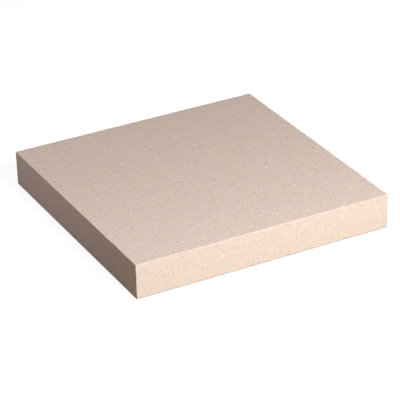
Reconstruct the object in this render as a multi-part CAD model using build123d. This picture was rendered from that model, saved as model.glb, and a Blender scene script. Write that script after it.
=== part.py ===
from build123d import *
import os

# Flat pillar cap: a square slab of reconstituted stone, cast in one piece.
# It lies in a bed of mortar on top of a pillar and overhangs the pillar on all four sides.
# The top and the sides are plain flat faces that meet in crisp, barely rounded arrises.
# Under the overhang a drip groove runs round all four sides, so that rain drips off the cap
# before it can run back to the pillar.
# Millimetres, +Z up. The origin is the middle of the underside, which is the bed face.

# Driving dimensions of the slab
CAP_SIDE = 450.0
CAP_THICKNESS = 60.0
ARRIS_RADIUS = 1.5

# Driving dimensions of the drip groove: the distance runs from a side face to the near wall
GROOVE_EDGE_DISTANCE = 20.0
GROOVE_WIDTH = 10.0
GROOVE_WALL_HEIGHT = 1.0
GROOVE_LIP_RADIUS = 1.0


def plain_slab():
    """The square slab on its bed face, with every outer edge eased to the arris radius."""
    on_bed = (Align.CENTER, Align.CENTER, Align.MIN)
    slab = Box(CAP_SIDE, CAP_SIDE, CAP_THICKNESS, align=on_bed)
    return fillet(slab.edges(), ARRIS_RADIUS)


def groove_section():
    """The groove's section, mouth down: rounded lips, short straight walls and a half-round crown."""
    half_width = GROOVE_WIDTH / 2
    half_mouth = half_width + GROOVE_LIP_RADIUS
    springing = GROOVE_LIP_RADIUS + GROOVE_WALL_HEIGHT
    crown = CenterArc((0, springing), half_width, start_angle=0, arc_size=180)
    outer_wall = Line(crown @ 1, (-half_width, GROOVE_LIP_RADIUS))
    inner_wall = Line((half_width, GROOVE_LIP_RADIUS), crown @ 0)
    outer_lip = RadiusArc(outer_wall @ 1, (-half_mouth, 0), GROOVE_LIP_RADIUS)
    inner_lip = RadiusArc((half_mouth, 0), inner_wall @ 0, GROOVE_LIP_RADIUS)
    mouth = Line(outer_lip @ 1, inner_lip @ 0)
    return make_face([crown, outer_wall, outer_lip, mouth, inner_lip, inner_wall])


def groove_run():
    """The groove along the front side, cut off at 45 degrees so that four runs meet in mitres."""
    half_side = CAP_SIDE / 2
    centre_line = half_side - GROOVE_EDGE_DISTANCE - GROOVE_WIDTH / 2
    across_run = Plane(origin=(-half_side, -centre_line, 0), x_dir=(0, 1, 0), z_dir=(1, 0, 0))
    straight_run = extrude(across_run * groove_section(), CAP_SIDE)
    front_quarter = Polyline((0, 0), (half_side, -half_side), (-half_side, -half_side), close=True)
    return straight_run & extrude(make_face(front_quarter), CAP_THICKNESS)


four_sides = PolarLocations(0, 4)
pillar_cap = plain_slab() - [side * groove_run() for side in four_sides]

os.makedirs("parts", exist_ok=True)
export_step(pillar_cap, "parts/pillar_cap.step")
print("pillar_cap: volume", round(pillar_cap.volume), "mm3, faces", len(pillar_cap.faces()))
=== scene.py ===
# %% [markdown]
# # A flat pillar cap in cast stone
#
# The object is one square slab that lies on top of a masonry pillar. It is cast stone: sand, crushed
# stone and cement, tamped into a mould and turned out as a crisp block. Its measured model is already
# there and stays fixed. This lesson dresses it: it builds a finer skin over the same block, gives that
# skin the look of sandy stone, and lights it as a small product on a white table.
#
# The first cell loads the measured model and keeps its box, to compare with at the end.

# %% Load the measured slab
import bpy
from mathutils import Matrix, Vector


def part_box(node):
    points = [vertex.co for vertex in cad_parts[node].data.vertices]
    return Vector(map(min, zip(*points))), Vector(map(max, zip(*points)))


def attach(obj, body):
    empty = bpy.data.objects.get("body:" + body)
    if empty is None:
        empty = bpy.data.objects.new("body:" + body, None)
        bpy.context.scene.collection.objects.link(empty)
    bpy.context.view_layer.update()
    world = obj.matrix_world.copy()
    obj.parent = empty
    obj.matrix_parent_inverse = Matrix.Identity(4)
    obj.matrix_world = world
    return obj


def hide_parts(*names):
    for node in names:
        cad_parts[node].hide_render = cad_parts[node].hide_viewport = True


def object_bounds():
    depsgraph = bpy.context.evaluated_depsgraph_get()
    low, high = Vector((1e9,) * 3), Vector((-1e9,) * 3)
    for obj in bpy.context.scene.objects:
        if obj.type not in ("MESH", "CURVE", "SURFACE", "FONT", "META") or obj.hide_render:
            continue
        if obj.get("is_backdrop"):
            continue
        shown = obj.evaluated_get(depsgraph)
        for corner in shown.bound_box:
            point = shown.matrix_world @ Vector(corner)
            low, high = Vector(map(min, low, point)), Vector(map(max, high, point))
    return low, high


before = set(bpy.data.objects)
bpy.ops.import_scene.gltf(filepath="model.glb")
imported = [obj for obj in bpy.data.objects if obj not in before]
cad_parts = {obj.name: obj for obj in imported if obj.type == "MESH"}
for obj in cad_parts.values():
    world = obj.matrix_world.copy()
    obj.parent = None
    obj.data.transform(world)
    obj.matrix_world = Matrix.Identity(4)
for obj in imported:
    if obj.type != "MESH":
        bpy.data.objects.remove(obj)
cad_low, cad_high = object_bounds()
print("measured box, low and high corner in metres:", tuple(cad_low), tuple(cad_high))

# %% [markdown]
# ## Tools
#
# In Blender's Python, bpy holds everything that is in the file, bmesh edits a mesh point by point, and
# mathutils has vectors, matrices and a smooth noise. NumPy divides lengths evenly, and random draws lots.

# %% Bring in the tools
import math
import random

import bmesh
import bpy
import numpy as np
from mathutils import Matrix, Vector, noise

scene = bpy.context.scene
print("Blender", bpy.app.version_string, "with", len(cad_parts), "measured node")

# %% [markdown]
# ## The section through the rim
#
# A mould maker draws the rim of such a cap once, as a section that is the same on all four sides: the
# rounded upper arris, the flat side, the lower arris, the rim under the overhang and the drip groove.
# A subdivided cube would give the same outline, but no control over where its lines run. So the section
# is written as a list of stations. Each one is a square ring round the slab, with a reach out from the
# middle, a height, and the radius of its four corners. The two arrises come first, each a quarter round.

# %% Stations of the arrises
slab_low, slab_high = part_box("pillar_cap")
HALF_SIDE = (slab_high.x - slab_low.x) / 2
TOP = slab_high.z
ARRIS = 0.0015
ARRIS_STEPS = 4


def arris_rings(centre_height, first_angle):
    """Rings down a quarter round, from the first angle to 90 degrees less."""
    rings = []
    for step in range(ARRIS_STEPS + 1):
        angle = math.radians(first_angle - 90 * step / ARRIS_STEPS)
        swell = ARRIS * math.cos(angle)
        rings.append((HALF_SIDE - ARRIS + swell, centre_height + ARRIS * math.sin(angle), swell))
    return rings


upper_arris = arris_rings(TOP - ARRIS, 90)
lower_arris = arris_rings(ARRIS, 0)
print("rings on each arris:", len(upper_arris))

# %% [markdown]
# ## Rows down the sides
#
# A flat side needs rows of its own, because its sandy unevenness is modelled later. They lie evenly, but
# close beside each arris run two more lines. Smooth shading blends from one line to the next, so without
# the first the arris would look far too wide. The second is there for the crumbs that break off the edge.

# %% Stations of the sides
BESIDE_ARRIS = (0.0004, 0.0016)
SIDE_ROWS = 20


def lines_along(start, end, count):
    """Places along a straight stretch: even, but for two narrow strips beside the arris at each end."""
    first, second = (math.copysign(strip, end - start) for strip in BESIDE_ARRIS)
    inner = np.linspace(start + second, end - second, count - 3)
    return [start, start + first, *inner, end - first, end]


side_heights = lines_along(TOP - ARRIS, ARRIS, SIDE_ROWS)[1:-1]
side_rows = [(HALF_SIDE, height, ARRIS) for height in side_heights]
fair_rings = upper_arris + side_rows + lower_arris
print("rings on the faces that show:", len(fair_rings))

# %% [markdown]
# ## The drip groove
#
# Rain that creeps along the underside has to fall off before it reaches the pillar, so a half-round
# groove is cast into the overhang. It could be cut with a boolean, which leaves long thin faces at the
# mitres. Here it is only a few more stations: lip, wall, crown, wall, lip.

# %% Stations of the groove
GROOVE_EDGE_DISTANCE = 0.020
GROOVE_WIDTH = 0.010
GROOVE_WALL = 0.001
GROOVE_LIP = 0.001
LIP_STEPS = 3
CROWN_STEPS = 8


def groove_rings():
    """Rings over the outer lip, round the crown and over the inner lip, all with mitred corners."""
    lip = []
    for step in range(LIP_STEPS + 1):
        angle = math.radians(90 * step / LIP_STEPS)
        lip.append((GROOVE_LIP * (math.sin(angle) - 1), GROOVE_LIP * (1 - math.cos(angle))))
    radius = GROOVE_WIDTH / 2
    crown = []
    for step in range(CROWN_STEPS + 1):
        angle = math.radians(180 - 180 * step / CROWN_STEPS)
        height = GROOVE_LIP + GROOVE_WALL + radius * math.sin(angle)
        crown.append((radius + radius * math.cos(angle), height))
    far_lip = [(GROOVE_WIDTH - across, height) for across, height in reversed(lip)]
    outer_wall = HALF_SIDE - GROOVE_EDGE_DISTANCE
    return [(outer_wall - across, height, 0.0) for across, height in lip + crown + far_lip]


groove = groove_rings()
groove_depth = max(height for reach, height, corner in groove)
print("the groove has", len(groove), "rings and is", round(groove_depth * 1000, 1), "mm deep")

# %% [markdown]
# ## The rim under the overhang
#
# Between the lower arris and the groove lies a flat rim. It is divided in the same way as the sides, and
# with it the section is whole, from the top to the inner lip of the groove.

# %% Stations of the rim
RIM_ROWS = 8

rim_reaches = lines_along(lower_arris[-1][0], groove[0][0], RIM_ROWS)[1:-1]
rim_rows = [(reach, 0.0, 0.0) for reach in rim_reaches]
stations = fair_rings + rim_rows + groove
print("rings in all:", len(stations))

# %% [markdown]
# ## Points of the skin
#
# Every ring gets the same number of points, so that neighbouring rings can join up in quads. Inside the
# first ring and the last one, two square grids fill the top and the bed.

# %% Points of the rings and grids
CELLS = 140
CORNER_STEPS = 3


def ring_points(reach, height, corner):
    """One closed ring: four straight sides, each followed by the inner points of its corner arc."""
    straight = reach - corner
    side = [(x, -reach) for x in lines_along(-straight, straight, CELLS)]
    for step in range(1, CORNER_STEPS):
        angle = math.radians(90 * step / CORNER_STEPS)
        side.append((straight + corner * math.sin(angle), -straight - corner * math.cos(angle)))
    points = []
    for quarter in range(4):
        points += [(x, y, height) for x, y in side]
        side = [(-y, x) for x, y in side]
    return points


def grid_points(station):
    """A square grid that fills the ring of a station with sharp corners."""
    reach, height, _ = station
    lines = lines_along(-reach, reach, CELLS)
    return [(x, y, height) for y in lines for x in lines]


points = [point for station in stations for point in ring_points(*station)]
top_start = len(points)
points += grid_points(stations[0])
bed_start = len(points)
points += grid_points(stations[-1])
print("points before the weld:", len(points))

# %% [markdown]
# ## Quads of the skin
#
# A quad is four point numbers, listed anticlockwise as seen from outside, because that order tells Blender
# which way the face looks. The quads are kept in two lists, one for the faces that show and one for the
# bed, which gets a coarser finish.

# %% Quads of the rings and grids
RING_POINTS = 4 * (CELLS + CORNER_STEPS)


def ring_quads(ring):
    """The quads between one ring and the next."""
    start = ring * RING_POINTS
    for i in range(RING_POINTS):
        j = (i + 1) % RING_POINTS
        yield start + i, start + RING_POINTS + i, start + RING_POINTS + j, start + j


def grid_quads(start, cells, upward=True):
    """The quads of a square grid whose points start at that number, facing up or down."""
    across = cells + 1
    for row in range(cells):
        for column in range(cells):
            a = start + row * across + column
            quad = (a, a + 1, a + across + 1, a + across)
            yield quad if upward else quad[::-1]


last_fair, last = len(fair_rings) - 1, len(stations) - 1
fair_quads = [quad for ring in range(last_fair) for quad in ring_quads(ring)]
fair_quads += grid_quads(top_start, CELLS)
bed_quads = [quad for ring in range(last_fair, last) for quad in ring_quads(ring)]
bed_quads += grid_quads(bed_start, CELLS, upward=False)
print("quads that show:", len(fair_quads), "and on the bed:", len(bed_quads))

# %% [markdown]
# ## The weld
#
# Where a grid meets its ring, two points lie in one place, and where a ring has sharp corners, the points
# of its corner arc do. A weld by distance joins them, and the quads at such corners become clean triangles.
# A skin without open edges is watertight, and its volume can be compared with the measured one.

# %% Weld the skin
FAIR, BED = 0, 1
WELD_DISTANCE = 1e-6

skin_mesh = bpy.data.meshes.new("cast_slab")
skin_mesh.from_pydata(points, [], fair_quads + bed_quads)
finish_of_face = [FAIR] * len(fair_quads) + [BED] * len(bed_quads)
skin_mesh.polygons.foreach_set("material_index", finish_of_face)

skin = bmesh.new()
skin.from_mesh(skin_mesh)
bmesh.ops.remove_doubles(skin, verts=skin.verts, dist=WELD_DISTANCE)
skin.normal_update()
open_edges = sum(not edge.is_manifold for edge in skin.edges)
print("skin:", len(skin.verts), "points,", len(skin.faces), "faces,", open_edges, "open edges,",
      round(skin.calc_volume() * 1e6), "cm3")

# %% [markdown]
# ## Where the arrises are
#
# The colour gets painted shade along the level arrises and a painted highlight along the upright ones, so
# each point of the skin keeps how far up the round of an arris it lies. A shader could find edges by itself,
# but only roughly and with much sampling. A number kept with the points is exact. Level and upright
# arrises get different painted light, so there are two numbers.

# %% Mark the arrises
level_layer = skin.verts.layers.float.new("level_arris")
upright_layer = skin.verts.layers.float.new("upright_arris")


def depths_inside(spot):
    """How deep a point lies inside the true block: in X, in Y, and below its nearest level face."""
    return HALF_SIDE - abs(spot.x), HALF_SIDE - abs(spot.y), min(spot.z, TOP - spot.z)


def crest_share(depth):
    """1 on the crest of an arris, 0 where it ends, from the depth below the farther of its two faces."""
    return min(1.0, max(0.0, (ARRIS - depth) / (ARRIS * math.sqrt(0.5))))


on_arris = 0
for vert in skin.verts:
    in_x, in_y, in_z = depths_inside(vert.co)
    vert[level_layer] = crest_share(max(min(in_x, in_y), in_z))
    vert[upright_layer] = crest_share(max(in_x, in_y))
    on_arris += vert[level_layer] > 0.0 or vert[upright_layer] > 0.0
print("points on the arrises:", on_arris)

# %% [markdown]
# ## Sandy unevenness and crumbled edges
#
# No cast face is flat to a hair. The tamped sand leaves it uneven by a few tenths of a millimetre, and in
# low light from the front that is what the eye reads as stone. The edges lose crumbs when the mould comes
# off. A bump map could fake the first but not the second, because crumbs change the outline, so both are
# modelled: each point sinks a little along its normal, and never rises above the true face. A crumb takes
# more than the arris. If only the arris sank, a furrow would run along the edge.

# %% Sink the points
FAIR_SAND_DEPTH = 0.00067
BED_SAND_DEPTH = 0.00090
SAND_SPACING = 0.0068
SWELL_DEPTH = 0.00012
SWELL_SPACING = 0.045
CRUMB_SPACING = 0.0085
CRUMB_THRESHOLD = 0.18
CRUMB_DEPTH = 0.0018
CRUMB_REACH = 0.0035


def edge_share(spot):
    """1 on an edge of the true block, and 0 from the reach of a crumb inwards."""
    return max(0.0, 1.0 - sorted(depths_inside(spot))[1] / CRUMB_REACH)


def sunk_by(spot, sand_depth):
    """How deep the skin lies below the true face there, in metres."""
    sand = 0.5 + 0.5 * noise.noise(spot / SAND_SPACING)
    swell = 0.5 + 0.5 * noise.noise(spot / SWELL_SPACING)
    crumb = max(0.0, noise.noise(spot / CRUMB_SPACING) - CRUMB_THRESHOLD) * edge_share(spot)
    return sand_depth * sand + SWELL_DEPTH * swell + CRUMB_DEPTH * crumb


deepest = 0.0
for vert in skin.verts:
    on_bed = all(face.material_index == BED for face in vert.link_faces)
    depth = sunk_by(vert.co, BED_SAND_DEPTH if on_bed else FAIR_SAND_DEPTH)
    vert.co -= vert.normal * depth
    deepest = max(deepest, depth)
skin.normal_update()
print("deepest crumb:", round(deepest * 1000, 2), "mm")

# %% [markdown]
# ## The shape of one pore
#
# Tamping never drives out all the air. It leaves pin holes with steep walls and a rounded floor. One way is
# a displacement map, which would need far more faces everywhere. Instead the four quads round a point are
# swapped for a little crater of their own. The block of four has eight points round it, so an eight-sided
# crater joins up with it in clean quads. It is drawn as rings from its collar inwards, each with a reach
# and a depth as shares of the whole, a little out of round and out of the middle.

# %% Rings of a crater
PORE_SIDES = 8
PORE_DEPTH_SHARE = 1.2
PORE_ROUNDNESS = 0.85
PORE_DRIFT = 0.5
CRATER_RINGS = ((1.2, 0.0), (1.0, 0.1), (0.78, 0.75))
COLLAR_REACH = CRATER_RINGS[0][0]

rng = random.Random(20)


def crater_rings(middle, border, radius):
    """Places of the crater's rings from its collar inwards, and of the lowest point of its floor."""
    normal = middle.normal.copy()
    along = (border[0].co - middle.co).normalized()
    across = normal.cross(along)
    slack = (border[0].co - middle.co).length - radius * COLLAR_REACH
    drift = [rng.uniform(-PORE_DRIFT, PORE_DRIFT) * slack for axis in range(2)]
    centre = middle.co + along * drift[0] + across * drift[1]
    wobble = [rng.uniform(PORE_ROUNDNESS, 1.0) for side in range(PORE_SIDES)]
    depth = radius * PORE_DEPTH_SHARE
    rings = []
    for reach, sink in CRATER_RINGS:
        ring = []
        for side in range(PORE_SIDES):
            angle = math.tau * side / PORE_SIDES
            out = (along * math.cos(angle) + across * math.sin(angle)) * (radius * reach * wobble[side])
            ring.append(centre + out - normal * (depth * sink))
        rings.append(ring)
    return rings, centre - normal * depth


print("faces in a crater:", PORE_SIDES * (len(CRATER_RINGS) + 1))

# %% [markdown]
# ## Swapping quads for a crater
#
# In bmesh every face knows its corners in order, as loops, and a loop knows its neighbour across the edge.
# Walking round a point from loop to loop lists the eight points of its border. Then the point goes, its
# four quads with it, and the crater takes their place. Its lip, walls and floor are marked for painted
# shade, a darker colour laid on later that stands for the shade on the pore's walls.

# %% Swap four quads for a crater
# The lip of a pore gets half as much painted shade as its walls and floor.
PORE_SHADE_ON_LIP = 0.5

pore_layer = skin.verts.layers.float.new("pore")


def border_of(middle):
    """The eight points round the four quads that meet in a point, in order."""
    loop = middle.link_loops[0]
    border = []
    for quad in range(4):
        border += [loop.link_loop_next.vert, loop.link_loop_next.link_loop_next.vert]
        loop = loop.link_loop_prev.link_loop_radial_next
    return border


def sink_pore(middle, border, radius):
    """Swap the four quads round a point for a crater."""
    finish = middle.link_faces[0].material_index
    places, floor_place = crater_rings(middle, border, radius)
    skin.verts.remove(middle)
    rings = [border] + [[skin.verts.new(spot) for spot in ring] for ring in places]
    floor_vert = skin.verts.new(floor_place)
    for vert in rings[-2]:
        vert[pore_layer] = PORE_SHADE_ON_LIP
    for vert in rings[-1] + [floor_vert]:
        vert[pore_layer] = 1.0
    made = []
    for side in range(PORE_SIDES):
        after = (side + 1) % PORE_SIDES
        for outer, inner in zip(rings, rings[1:]):
            made.append((outer[side], outer[after], inner[after], inner[side]))
        made.append((rings[-1][side], rings[-1][after], floor_vert))
    for verts in made:
        skin.faces.new(verts).material_index = finish


print("layers kept with the points:", skin.verts.layers.float.keys())

# %% [markdown]
# ## Where a pore fits
#
# A crater needs four whole quads that lie nearly flat, belong to one finish and are wide enough. It stays
# clear of the arrises, where the lines are too close. Because air rises in the mould, the widest pores, up
# to four millimetres, are in the level faces.

# %% Find room for pores
LARGEST_PORE = {"level": 0.0021, "upright": 0.0006}
LEVEL_COSINE = 0.99


def open_points(finish):
    """Points where four quads of one finish meet, well inside a flat face and wide enough for any pore."""
    needed = max(LARGEST_PORE.values()) * COLLAR_REACH
    found = []
    for vert in skin.verts:
        quads = [face for face in vert.link_faces if len(face.verts) == 4 and face.material_index == finish]
        if len(quads) != 4 or len(vert.link_faces) != 4:
            continue
        wide = min(edge.calc_length() for edge in vert.link_edges) > needed
        flat = min(face.normal.dot(vert.normal) for face in quads) > LEVEL_COSINE
        corners = [corner for face in quads for corner in face.verts]
        clear = all(corner[level_layer] == corner[upright_layer] == 0.0 for corner in corners)
        if wide and flat and clear:
            found.append(vert)
    return found


print("points with room for a pore:", [len(open_points(finish)) for finish in (FAIR, BED)])

# %% [markdown]
# ## All the pores
#
# Places and sizes are drawn by lot, with a fixed seed so that every run gives the same slab. Raising the
# lot to a high power makes wide pores rare, as they are in well tamped stone. No two pores share a quad.

# %% Sink all the pores
SMALLEST_PORE = 0.00035
PORE_RARITY = 5.5
PORE_COUNTS = {FAIR: 360, BED: 200}

pore_radii = []
for finish, count in PORE_COUNTS.items():
    candidates = open_points(finish)
    rng.shuffle(candidates)
    taken = set()
    wanted = len(pore_radii) + count
    while len(pore_radii) < wanted:
        middle = candidates.pop()
        if middle in taken:
            continue
        border = border_of(middle)
        taken.update(border)
        largest = LARGEST_PORE["level" if abs(middle.normal.z) > LEVEL_COSINE else "upright"]
        share = rng.random() ** PORE_RARITY
        pore_radii.append(SMALLEST_PORE + (largest - SMALLEST_PORE) * share)
        sink_pore(middle, border, pore_radii[-1])
skin.normal_update()
triangles = sum(len(face.verts) - 2 for face in skin.faces)
widest = round(max(pore_radii) * 2000, 1)
print("pores:", len(pore_radii), "up to", widest, "mm wide; triangles in the skin:", triangles)

# %% [markdown]
# ## The piece
#
# The finished skin becomes one object. It stands for the measured node, which stays in place unseen, and
# it moves with the same body. Smooth shading lets the arrises read as round.

# %% Make the slab
for face in skin.faces:
    face.smooth = True
skin.to_mesh(skin_mesh)
skin.free()
slab = bpy.data.objects.new("cast_slab", skin_mesh)
scene.collection.objects.link(slab)
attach(slab, "root")
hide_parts("pillar_cap")
print("slab size in mm:", [round(side * 1000, 2) for side in slab.dimensions])

# %% [markdown]
# ## Placing nodes
#
# Materials are graphs of nodes. Written out one call at a time, a graph gets long, so three small helpers
# keep the cells short. One places a node and fills or links its inputs, one blends two colours, and one
# calculates with two values.

# %% Helpers that place nodes
MIX_A, MIX_B, MIX_RESULT = 6, 7, 2


def place(tree, kind, inputs=None, **options):
    """Add a node. An input is linked if it is given a socket, and set if it is given a value."""
    node = tree.nodes.new(kind)
    for option, value in options.items():
        setattr(node, option, value)
    for name, value in (inputs or {}).items():
        if isinstance(value, bpy.types.NodeSocket):
            tree.links.new(value, node.inputs[name])
        else:
            node.inputs[name].default_value = value
    return node


def blend_colours(tree, factor, first, second, how="MIX"):
    """A colour between two others, or one colour laid over another in some other way."""
    inputs = {0: factor, MIX_A: first, MIX_B: second}
    return place(tree, "ShaderNodeMix", inputs, data_type="RGBA", blend_type=how).outputs[MIX_RESULT]


def calculate(tree, operation, first, second):
    """The result of one calculation with two values."""
    return place(tree, "ShaderNodeMath", {0: first, 1: second}, operation=operation).outputs["Value"]


print("a Mix node's colour sockets:", MIX_A, MIX_B, "and its result:", MIX_RESULT)

# %% [markdown]
# ## Starting a group
#
# A node group works like a function: built once, with named sockets, and used in each material with values
# of its own. Both finishes of the stone share the same four effects, so each effect is a group.

# %% Helper that starts a group
def start_group(name, inputs, outputs):
    """A new node group with its sockets, and its input and output nodes."""
    tree = bpy.data.node_groups.new(name, "ShaderNodeTree")
    for label, kind, value in inputs:
        socket = tree.interface.new_socket(name=label, in_out="INPUT", socket_type="NodeSocket" + kind)
        if value is not None:
            socket.default_value = value
    for label, kind in outputs:
        tree.interface.new_socket(name=label, in_out="OUTPUT", socket_type="NodeSocket" + kind)
    return tree, tree.nodes.new("NodeGroupInput"), tree.nodes.new("NodeGroupOutput")


print("node groups so far:", len(bpy.data.node_groups))

# %% [markdown]
# ## Sand grain
#
# Cast stone is sand held together by a little cement paste. Each grain has a tone of its own, and stands
# slightly proud of the paste. A Voronoi texture does just that: it divides space into cells, gives each
# a random colour, and measures the distance from its middle. A noise texture would only give blurred
# patches. From its middle to the grain's reach, given in cell widths, the height falls from 1 to 0.

# %% Group: sand grain
GRAIN_REACH = 0.7

grain_group, enter, leave = start_group(
    "Sand Grain",
    [("Place", "Vector", None), ("Grains per Metre", "Float", 1000.0)],
    [("Tone", "Float"), ("Height", "Float")],
)
grain_cells = place(
    grain_group,
    "ShaderNodeTexVoronoi",
    {"Vector": enter.outputs["Place"], "Scale": enter.outputs["Grains per Metre"]},
)
grain_tone = place(grain_group, "ShaderNodeSeparateColor", {"Color": grain_cells.outputs["Color"]})
grain_dome = place(
    grain_group,
    "ShaderNodeMapRange",
    {"Value": grain_cells.outputs["Distance"], "From Max": GRAIN_REACH, "To Min": 1.0, "To Max": 0.0},
)
grain_group.links.new(grain_tone.outputs["Red"], leave.inputs["Tone"])
grain_group.links.new(grain_dome.outputs["Result"], leave.inputs["Height"])
print("group", grain_group.name, "with", len(grain_group.nodes), "nodes")

# %% [markdown]
# ## Stray flecks
#
# The sieve lets some larger grains through: pale quartz, and a few dark ones. They lie far apart, so they
# are not a ramp on the sand but a group of its own. Cells some millimetres wide are drawn by lot, and in a
# cell that is drawn only a round spot about its middle counts, larger or smaller by lot too. The dark ones
# are dark grains and also painted shade: they stand for the small shadows that the low lamp leaves in the
# level faces, so their mask is weighed by the square of the normal's Z, which is 1 on level faces and 0 on
# upright ones. The outputs are two masks.

# %% Group: stray flecks
fleck_group, enter, leave = start_group(
    "Stray Flecks",
    [("Place", "Vector", None), ("Cells per Metre", "Float", 250.0), ("Largest", "Float", 0.5),
     ("Pale Share", "Float", 0.042), ("Dark Share", "Float", 0.055)],
    [("Pale", "Float"), ("Dark", "Float")],
)
fleck_cells = place(
    fleck_group,
    "ShaderNodeTexVoronoi",
    {"Vector": enter.outputs["Place"], "Scale": enter.outputs["Cells per Metre"]},
)
lots = place(fleck_group, "ShaderNodeSeparateColor", {"Color": fleck_cells.outputs["Color"]}).outputs
fleck_radius = calculate(fleck_group, "MULTIPLY", lots["Blue"], enter.outputs["Largest"])
fleck_spot = calculate(fleck_group, "LESS_THAN", fleck_cells.outputs["Distance"], fleck_radius)
fleck_normal = place(fleck_group, "ShaderNodeNewGeometry").outputs["Normal"]
upness = place(fleck_group, "ShaderNodeSeparateXYZ", {"Vector": fleck_normal}).outputs["Z"]
level_share = calculate(fleck_group, "MULTIPLY", upness, upness)
# The dark mask is weighed towards the level faces, where dark flecks also serve as painted shade.
for label, lot, shown in (("Pale", "Red", 1.0), ("Dark", "Green", level_share)):
    drawn = calculate(fleck_group, "LESS_THAN", lots[lot], enter.outputs[label + " Share"])
    spots = calculate(fleck_group, "MULTIPLY", drawn, fleck_spot)
    fleck_group.links.new(calculate(fleck_group, "MULTIPLY", spots, shown), leave.inputs[label])
print("group", fleck_group.name, "with", len(fleck_group.nodes), "nodes")

# %% [markdown]
# ## Cloudiness
#
# The mix is never perfectly even: some patches come out more rosy, others more creamy. That is a broad,
# soft noise. A finer noise stands for the paste, which is richer in some spots and leaner in others. Noise
# keeps near its middle value, so the part between two edges is stretched to the whole range. Both outputs
# are masks, and each material decides what it blends with them.

# %% Group: cloudiness
CLOUD_EDGES = (0.3, 0.7)
CLOUD_DETAIL = 3.0
SPOT_DETAIL = 1.0

cloud_group, enter, leave = start_group(
    "Mix Cloudiness",
    [("Place", "Vector", None), ("Clouds per Metre", "Float", 25.0), ("Spots per Metre", "Float", 200.0)],
    [("Rosiness", "Float"), ("Richness", "Float")],
)
for label, scale, detail in (
    ("Rosiness", "Clouds per Metre", CLOUD_DETAIL),
    ("Richness", "Spots per Metre", SPOT_DETAIL),
):
    soft_noise = place(
        cloud_group,
        "ShaderNodeTexNoise",
        {"Vector": enter.outputs["Place"], "Scale": enter.outputs[scale], "Detail": detail},
    )
    spread = place(
        cloud_group,
        "ShaderNodeMapRange",
        {"Value": soft_noise.outputs["Fac"], "From Min": CLOUD_EDGES[0], "From Max": CLOUD_EDGES[1]},
        interpolation_type="SMOOTHSTEP",
    )
    cloud_group.links.new(spread.outputs["Result"], leave.inputs[label])
print("group", cloud_group.name, "with", len(cloud_group.nodes), "nodes")

# %% [markdown]
# ## Hollows and arrises
#
# The pores get painted shade: a darker colour that stands for the shade on their walls. Along the level
# arrises painted shade here and there stands for the shadows between the broken grains of a crumbled edge,
# and the upright arrises get a painted highlight, a paler line along the edge. The three masks start from
# what was kept with the points of the skin, and noise breaks up the arrises, so that their painted light
# comes and goes along the edge.

# %% Group: hollows and arrises
PATCH_EDGES = (0.38, 0.52)

painted_light_group, enter, leave = start_group(
    "Hollows and Arrises",
    [("Place", "Vector", None), ("Patches per Metre", "Float", 170.0)],
    [("Hollow", "Float"), ("Level Arris Shade", "Float"), ("Upright Arris Highlight", "Float")],
)
patch_noise = place(
    painted_light_group,
    "ShaderNodeTexNoise",
    {"Vector": enter.outputs["Place"], "Scale": enter.outputs["Patches per Metre"]},
)
patches = place(
    painted_light_group,
    "ShaderNodeMapRange",
    {"Value": patch_noise.outputs["Fac"], "From Min": PATCH_EDGES[0], "From Max": PATCH_EDGES[1]},
)
# Masks for painted shade on the level arrises and a painted highlight on the upright ones, broken up by the
# patches.
for label, attribute in (("Level Arris Shade", "level_arris"), ("Upright Arris Highlight", "upright_arris")):
    arris_mask = place(painted_light_group, "ShaderNodeAttribute", attribute_name=attribute)
    painted_arris = calculate(painted_light_group, "MULTIPLY", arris_mask.outputs["Fac"], patches.outputs["Result"])
    painted_light_group.links.new(painted_arris, leave.inputs[label])
# Mask for the painted shade in the pores, from the pore marks kept with the points.
pore_mask = place(painted_light_group, "ShaderNodeAttribute", attribute_name="pore")
painted_light_group.links.new(pore_mask.outputs["Fac"], leave.inputs["Hollow"])
print("group", painted_light_group.name, "with", len(painted_light_group.nodes), "nodes")

# %% [markdown]
# ## The tones of the sand
#
# A colour ramp with hard steps turns each grain's lot into one of a few tones: most grains are close to
# the mean, a few are dark, and a few are bright. The tones are factors near 1, because they multiply the
# colour of the mix and should leave its mean as it is.

# %% Ramp of the sand
SAND_TONES = (
    (0.00, (0.93, 0.915, 0.90)),
    (0.06, (0.964, 0.960, 0.956)),
    (0.30, (0.991, 0.991, 0.991)),
    (0.60, (1.014, 1.014, 1.014)),
    (0.88, (1.043, 1.047, 1.052)),
    (0.97, (1.10, 1.11, 1.12)),
)


def sand_ramp(tree, lot):
    """The tone of a grain, by its lot."""
    node = place(tree, "ShaderNodeValToRGB", {"Fac": lot})
    steps = node.color_ramp.elements
    node.color_ramp.interpolation = "CONSTANT"
    for index, (start, tone) in enumerate(SAND_TONES):
        step = steps[0] if index == 0 else steps.new(start)
        step.position = start
        step.color = (*tone, 1.0)
    steps.remove(steps[-1])
    return node.outputs["Color"]


print("tones of sand:", len(SAND_TONES))

# %% [markdown]
# ## The colour of the stone
#
# The colour is laid on in layers. First the mix: cream with rosy clouds, its paste richer or leaner, its
# sand in many tones. Then the marks: pale and dark flecks, the dark ones also painted shade on the level
# faces, painted shade in the pores and on the level arrises, and a painted highlight on the upright
# arrises. Each mark is one more Mix node with a mask from a group.

# %% Colours of the stone
RICH_AND_LEAN = (0.97, 1.03)
PALE_FLECK = (0.783, 0.668, 0.576, 1.0)
# Dark grains, which on the level faces also serve as painted shade of small hollows.
DARK_GRAIN_AND_SHADE = (0.585, 0.455, 0.375, 1.0)
# Painted shade in the pores: a darker colour that stands for the shade on their walls.
PORE_PAINTED_SHADE = (0.37, 0.29, 0.24, 1.0)
# Painted shade on the level arrises: a darker colour that stands for the shadows among crumbled grains.
LEVEL_ARRIS_PAINTED_SHADE = (0.56, 0.455, 0.385, 1.0)
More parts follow.
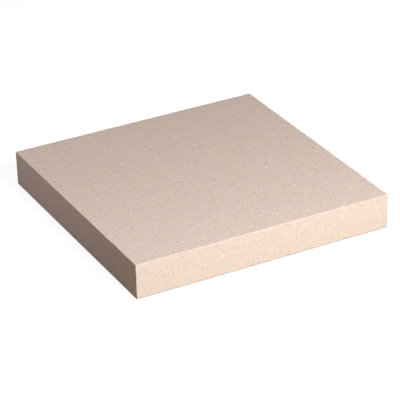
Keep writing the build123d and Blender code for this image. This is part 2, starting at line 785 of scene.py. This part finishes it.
# Painted highlight on the upright arrises: a paler colour along the edge where light catches it.
UPRIGHT_ARRIS_PAINTED_HIGHLIGHT = (0.85, 0.73, 0.64, 1.0)


def plain_colour(tree, cream, rosy, cloud, grain):
    """The colour of the mix, without marks."""
    rich, lean = RICH_AND_LEAN
    body = blend_colours(tree, cloud["Rosiness"], (*cream, 1.0), (*rosy, 1.0))
    paste = place(tree, "ShaderNodeMapRange", {"Value": cloud["Richness"], "To Min": lean, "To Max": rich})
    mottled = blend_colours(tree, 1.0, body, paste.outputs["Result"], "MULTIPLY")
    return blend_colours(tree, 1.0, mottled, sand_ramp(tree, grain["Tone"]), "MULTIPLY")


def marked_colour(tree, colour, fleck, painted_light):
    """The same colour with flecks, painted shade in the pores and on the level arrises, and a painted
    highlight on the upright arrises.
    """
    for mask, mark in (
        (fleck["Pale"], PALE_FLECK),
        (fleck["Dark"], DARK_GRAIN_AND_SHADE),
        (painted_light["Hollow"], PORE_PAINTED_SHADE),
        (painted_light["Level Arris Shade"], LEVEL_ARRIS_PAINTED_SHADE),
        (painted_light["Upright Arris Highlight"], UPRIGHT_ARRIS_PAINTED_HIGHLIGHT),
    ):
        colour = blend_colours(tree, mask, colour, mark)
    return colour


print("paste between", RICH_AND_LEAN[0], "and", RICH_AND_LEAN[1], "times the colour of the mix")

# %% [markdown]
# ## The stone as a material
#
# One function makes a material from the four groups. Stone this dry has hardly any gloss, so its roughness
# is high and differs a little from grain to grain. The grains are too small to model, so their height goes
# through a Bump node.

# %% Function: cast stone
STONE_ROUGHNESS = (0.86, 0.97)
STONE_SHINE = 0.25


def cast_stone(name, cream, rosy, grains, clouds, relief):
    """A matte stone: clouded colour, toned by its sand, with painted shade in its pores and on its level
    arrises and a painted highlight on its upright ones.
    """
    material = bpy.data.materials.new(name)
    material.use_nodes = True
    tree = material.node_tree
    shader = tree.nodes["Principled BSDF"]
    shader.inputs["Specular IOR Level"].default_value = STONE_SHINE

    where = {"Place": place(tree, "ShaderNodeTexCoord").outputs["Object"]}
    settings = {"Grains per Metre": grains, **where}
    grain = place(tree, "ShaderNodeGroup", settings, node_tree=grain_group).outputs
    settings = {"Clouds per Metre": clouds, **where}
    cloud = place(tree, "ShaderNodeGroup", settings, node_tree=cloud_group).outputs
    fleck = place(tree, "ShaderNodeGroup", where, node_tree=fleck_group).outputs
    painted_light = place(tree, "ShaderNodeGroup", where, node_tree=painted_light_group).outputs

    colour = marked_colour(tree, plain_colour(tree, cream, rosy, cloud, grain), fleck, painted_light)
    tree.links.new(colour, shader.inputs["Base Color"])
    low, high = STONE_ROUGHNESS
    dullness = place(tree, "ShaderNodeMapRange", {"Value": grain["Tone"], "To Min": low, "To Max": high})
    tree.links.new(dullness.outputs["Result"], shader.inputs["Roughness"])
    bump = place(tree, "ShaderNodeBump", {"Height": grain["Height"], "Distance": relief})
    tree.links.new(bump.outputs["Normal"], shader.inputs["Normal"])
    return material


print("roughness of the stone:", STONE_ROUGHNESS)

# %% [markdown]
# ## Two finishes of one stone
#
# The top and the sides were pressed against the mould and are fair faced: fine and even. The bed was
# struck off by hand and is coarser and a shade greyer. Both are the same stone, so only the values differ.
# Colours are the stone's own, in linear light, and lengths are in metres.

# %% Finishes of the slab
fair_stone = cast_stone(
    "fair_faced_stone",
    cream=(0.668, 0.5475, 0.451),
    rosy=(0.664, 0.5335, 0.467),
    grains=620.0,
    clouds=32.0,
    relief=0.0002,
)
bed_stone = cast_stone(
    "struck_bed_stone",
    cream=(0.610, 0.515, 0.440),
    rosy=(0.595, 0.490, 0.420),
    grains=700.0,
    clouds=18.0,
    relief=0.0004,
)
skin_mesh.materials.append(fair_stone)
skin_mesh.materials.append(bed_stone)
print("finishes:", [material.name for material in skin_mesh.materials])

# %% [markdown]
# ## Camera
#
# The camera stands where the photograph was taken from: well back, with a long lens, so that the edges
# of the square run almost parallel. Azimuth 0 looks along +Y. The place was found by fitting the slab's
# corners, so the render and the photograph can be laid over each other.

# %% Place the camera
CAMERA_AZIMUTH = -27.40
CAMERA_ELEVATION = 27.666
CAMERA_ROLL = -1.638
CAMERA_DISTANCE = 3.369
CAMERA_TARGET = Vector((-0.0087, -0.0245, 0.0223))
SENSOR_WIDTH = 36.0
FOCAL_LENGTH = 186.09


def camera_frame(azimuth, elevation, roll):
    """The camera's axes as a rotation: its right, its up, and the way back from the object to it."""
    turn, lift = math.radians(azimuth), math.radians(elevation)
    back = Vector((math.sin(turn) * math.cos(lift), -math.cos(turn) * math.cos(lift), math.sin(lift)))
    right = Vector((math.cos(turn), math.sin(turn), 0.0))
    level = Matrix((right, back.cross(right), back)).transposed()
    return level @ Matrix.Rotation(math.radians(roll), 3, "Z")


camera_data = bpy.data.cameras.new("camera")
camera_data.sensor_width = SENSOR_WIDTH
camera_data.lens = FOCAL_LENGTH
camera = bpy.data.objects.new("camera", camera_data)
axes = camera_frame(CAMERA_AZIMUTH, CAMERA_ELEVATION, CAMERA_ROLL)
camera.matrix_world = Matrix.Translation(CAMERA_TARGET + axes.col[2] * CAMERA_DISTANCE) @ axes.to_4x4()
scene.collection.objects.link(camera)
scene.camera = camera
print("camera at", [round(c, 3) for c in camera.location])

# %% [markdown]
# ## Lamps
#
# One large lamp stands in front of the slab, not high and a little to its right: the front side is bright,
# the top gets less and fades towards the back, and the left side has only a weak fill. A low card behind the
# slab keeps the two back sides from going black. It is no taller than the slab, so none of its light falls
# on the top. The power of each lamp is chosen so that the top renders at about the colour of its material.

# %% Set up the lamps
MIDDLE = Vector((0.0, 0.0, TOP / 2))
CARD_HEIGHT = 0.8 * TOP


def softbox(name, location, width, height, power, colour):
    """A rectangular lamp, turned to face the middle of the slab and unseen by the camera."""
    lamp = bpy.data.lights.new(name, "AREA")
    lamp.shape = "RECTANGLE"
    lamp.size, lamp.size_y = width, height
    lamp.energy = power
    lamp.color = colour
    holder = bpy.data.objects.new(name, lamp)
    holder.location = location
    holder.rotation_euler = (MIDDLE - Vector(location)).to_track_quat("-Z", "Y").to_euler()
    holder.visible_camera = False
    scene.collection.objects.link(holder)
    return holder


lamps = [
    softbox("key_softbox", location=(0.24, -1.80, 1.31), width=0.6, height=0.6,
            power=68.0, colour=(0.954, 0.982, 1.0)),
    softbox("side_reflector", location=(-0.80, 0.21, 0.25), width=0.3, height=0.3,
            power=0.918, colour=(0.859, 0.817, 1.0)),
    softbox("back_card", location=(0.75, 0.85, TOP / 2), width=1.0, height=CARD_HEIGHT,
            power=2.8, colour=(0.95, 0.94, 1.0)),
]
print("lamps:", [(lamp.name, round(lamp.data.energy, 2)) for lamp in lamps])

# %% [markdown]
# ## World
#
# The background is white paper. To the camera the world is simply white, by way of the Light Path node,
# while the light that it throws on the stone is much weaker and a little warm. A bright world without that
# switch would wash out the shadows.

# %% White world with weak light
AMBIENT = 0.15
AMBIENT_COLOUR = (1.0, 0.77, 0.757, 1.0)
WHITE = (1.0, 1.0, 1.0, 1.0)


def seen_directly(tree):
    """1 for rays from the camera, and for what mirrors or glass would show of the background."""
    path = place(tree, "ShaderNodeLightPath").outputs
    seen = calculate(tree, "MAXIMUM", path["Is Camera Ray"], path["Is Glossy Ray"])
    return calculate(tree, "MAXIMUM", seen, path["Is Transmission Ray"])


world = bpy.data.worlds.new("white_studio")
scene.world = world
world.use_nodes = True
world_tree = world.node_tree
ambient = world_tree.nodes["Background"]
ambient.inputs["Color"].default_value = AMBIENT_COLOUR
ambient.inputs["Strength"].default_value = AMBIENT
paper = place(world_tree, "ShaderNodeBackground", {"Color": WHITE, "Strength": 1.0})
sky = place(
    world_tree,
    "ShaderNodeMixShader",
    {0: seen_directly(world_tree), 1: ambient.outputs["Background"], 2: paper.outputs["Background"]},
)
world_tree.links.new(sky.outputs["Shader"], world_tree.nodes["World Output"].inputs["Surface"])
print("ambient light:", AMBIENT)

# %% [markdown]
# ## Floor
#
# The slab lies on a wide sheet of paper, a hair below its bed so that the two never share a plane. One
# quad would do for the floor, but the part under the slab needs a material of its own. So it is a grid of
# three by three quads, and the middle one ends half-way under the rounded lower arris.

# %% Lay the floor
FLOOR_HALF = 8.0
FLOOR_DROP = 0.0002
COVERED_PAPER = 1

covered_half = HALF_SIDE - ARRIS / 2
floor_lines = (-FLOOR_HALF, -covered_half, covered_half, FLOOR_HALF)
floor_points = [(x, y, slab_low.z - FLOOR_DROP) for y in floor_lines for x in floor_lines]
floor_quads = list(grid_quads(0, len(floor_lines) - 1))
floor_mesh = bpy.data.meshes.new("floor")
floor_mesh.from_pydata(floor_points, [], floor_quads)
floor_mesh.polygons[len(floor_quads) // 2].material_index = COVERED_PAPER
floor = bpy.data.objects.new("floor", floor_mesh)
scene.collection.objects.link(floor)
floor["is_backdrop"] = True
print("floor:", 2 * FLOOR_HALF, "m square,", len(floor_quads), "quads")

# %% [markdown]
# ## White paper round the slab
#
# Like the world, the paper is white to the camera and throws little light on the stone. But near the slab
# it keeps a share of real shading, so that the slab's shadow stays on it: most of its white is a glow, and
# the rest is lit by the lamps. Farther out it fades to plain white, so that no horizon shows.

# %% Material: white paper
FLOOR_BOUNCE = (0.196, 0.165, 0.066, 1.0)
FLOOR_SHADED = (0.13, 0.13, 0.13, 1.0)
FLOOR_GLOW = 0.935
SHADOW_REACH = (0.7, 1.6)

open_paper = bpy.data.materials.new("white_paper")
open_paper.use_nodes = True
tree = open_paper.node_tree
tree.nodes.remove(tree.nodes["Principled BSDF"])
bounce = place(tree, "ShaderNodeBsdfDiffuse", {"Color": FLOOR_BOUNCE})
shaded = place(tree, "ShaderNodeBsdfDiffuse", {"Color": FLOOR_SHADED})
glow = place(tree, "ShaderNodeEmission", {"Color": WHITE, "Strength": FLOOR_GLOW})
near = place(tree, "ShaderNodeAddShader", {0: shaded.outputs["BSDF"], 1: glow.outputs["Emission"]})
far = place(tree, "ShaderNodeEmission", {"Color": WHITE, "Strength": 1.0})
spot = place(tree, "ShaderNodeNewGeometry").outputs["Position"]
away = place(tree, "ShaderNodeVectorMath", {0: spot}, operation="LENGTH").outputs["Value"]
fade = place(
    tree,
    "ShaderNodeMapRange",
    {"Value": away, "From Min": SHADOW_REACH[0], "From Max": SHADOW_REACH[1]},
)
shown = place(
    tree,
    "ShaderNodeMixShader",
    {0: fade.outputs["Result"], 1: near.outputs["Shader"], 2: far.outputs["Emission"]},
)
surface = place(
    tree,
    "ShaderNodeMixShader",
    {0: seen_directly(tree), 1: bounce.outputs["BSDF"], 2: shown.outputs["Shader"]},
)
tree.links.new(surface.outputs["Shader"], tree.nodes["Material Output"].inputs["Surface"])
floor_mesh.materials.append(open_paper)
print("material", open_paper.name, "with", len(tree.nodes), "nodes")

# %% [markdown]
# ## Paper under the slab
#
# Under the slab the paper has no such glow. What shows of it below the rounded arris is dark where no lamp
# reaches, and that thin line sets the slab down on the floor.

# %% Material: covered paper
COVERED_COLOUR = (0.8, 0.8, 0.8, 1.0)

covered_paper = bpy.data.materials.new("covered_paper")
covered_paper.use_nodes = True
covered_paper.node_tree.nodes["Principled BSDF"].inputs["Base Color"].default_value = COVERED_COLOUR
floor_mesh.materials.append(covered_paper)
print("papers:", [material.name for material in floor_mesh.materials])

# %% [markdown]
# ## Last look at the size
#
# Colours are shown as written, with the plain Standard view. The skin may only differ from the measured
# slab by its relief, so the largest difference between the two boxes is printed.

# %% View, sizes and finish
scene.view_settings.view_transform = "Standard"
seen_low, seen_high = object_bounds()
largest_difference = max((seen_low - cad_low).length, (seen_high - cad_high).length)
print("largest difference in mm:", round(largest_difference * 1000, 3))
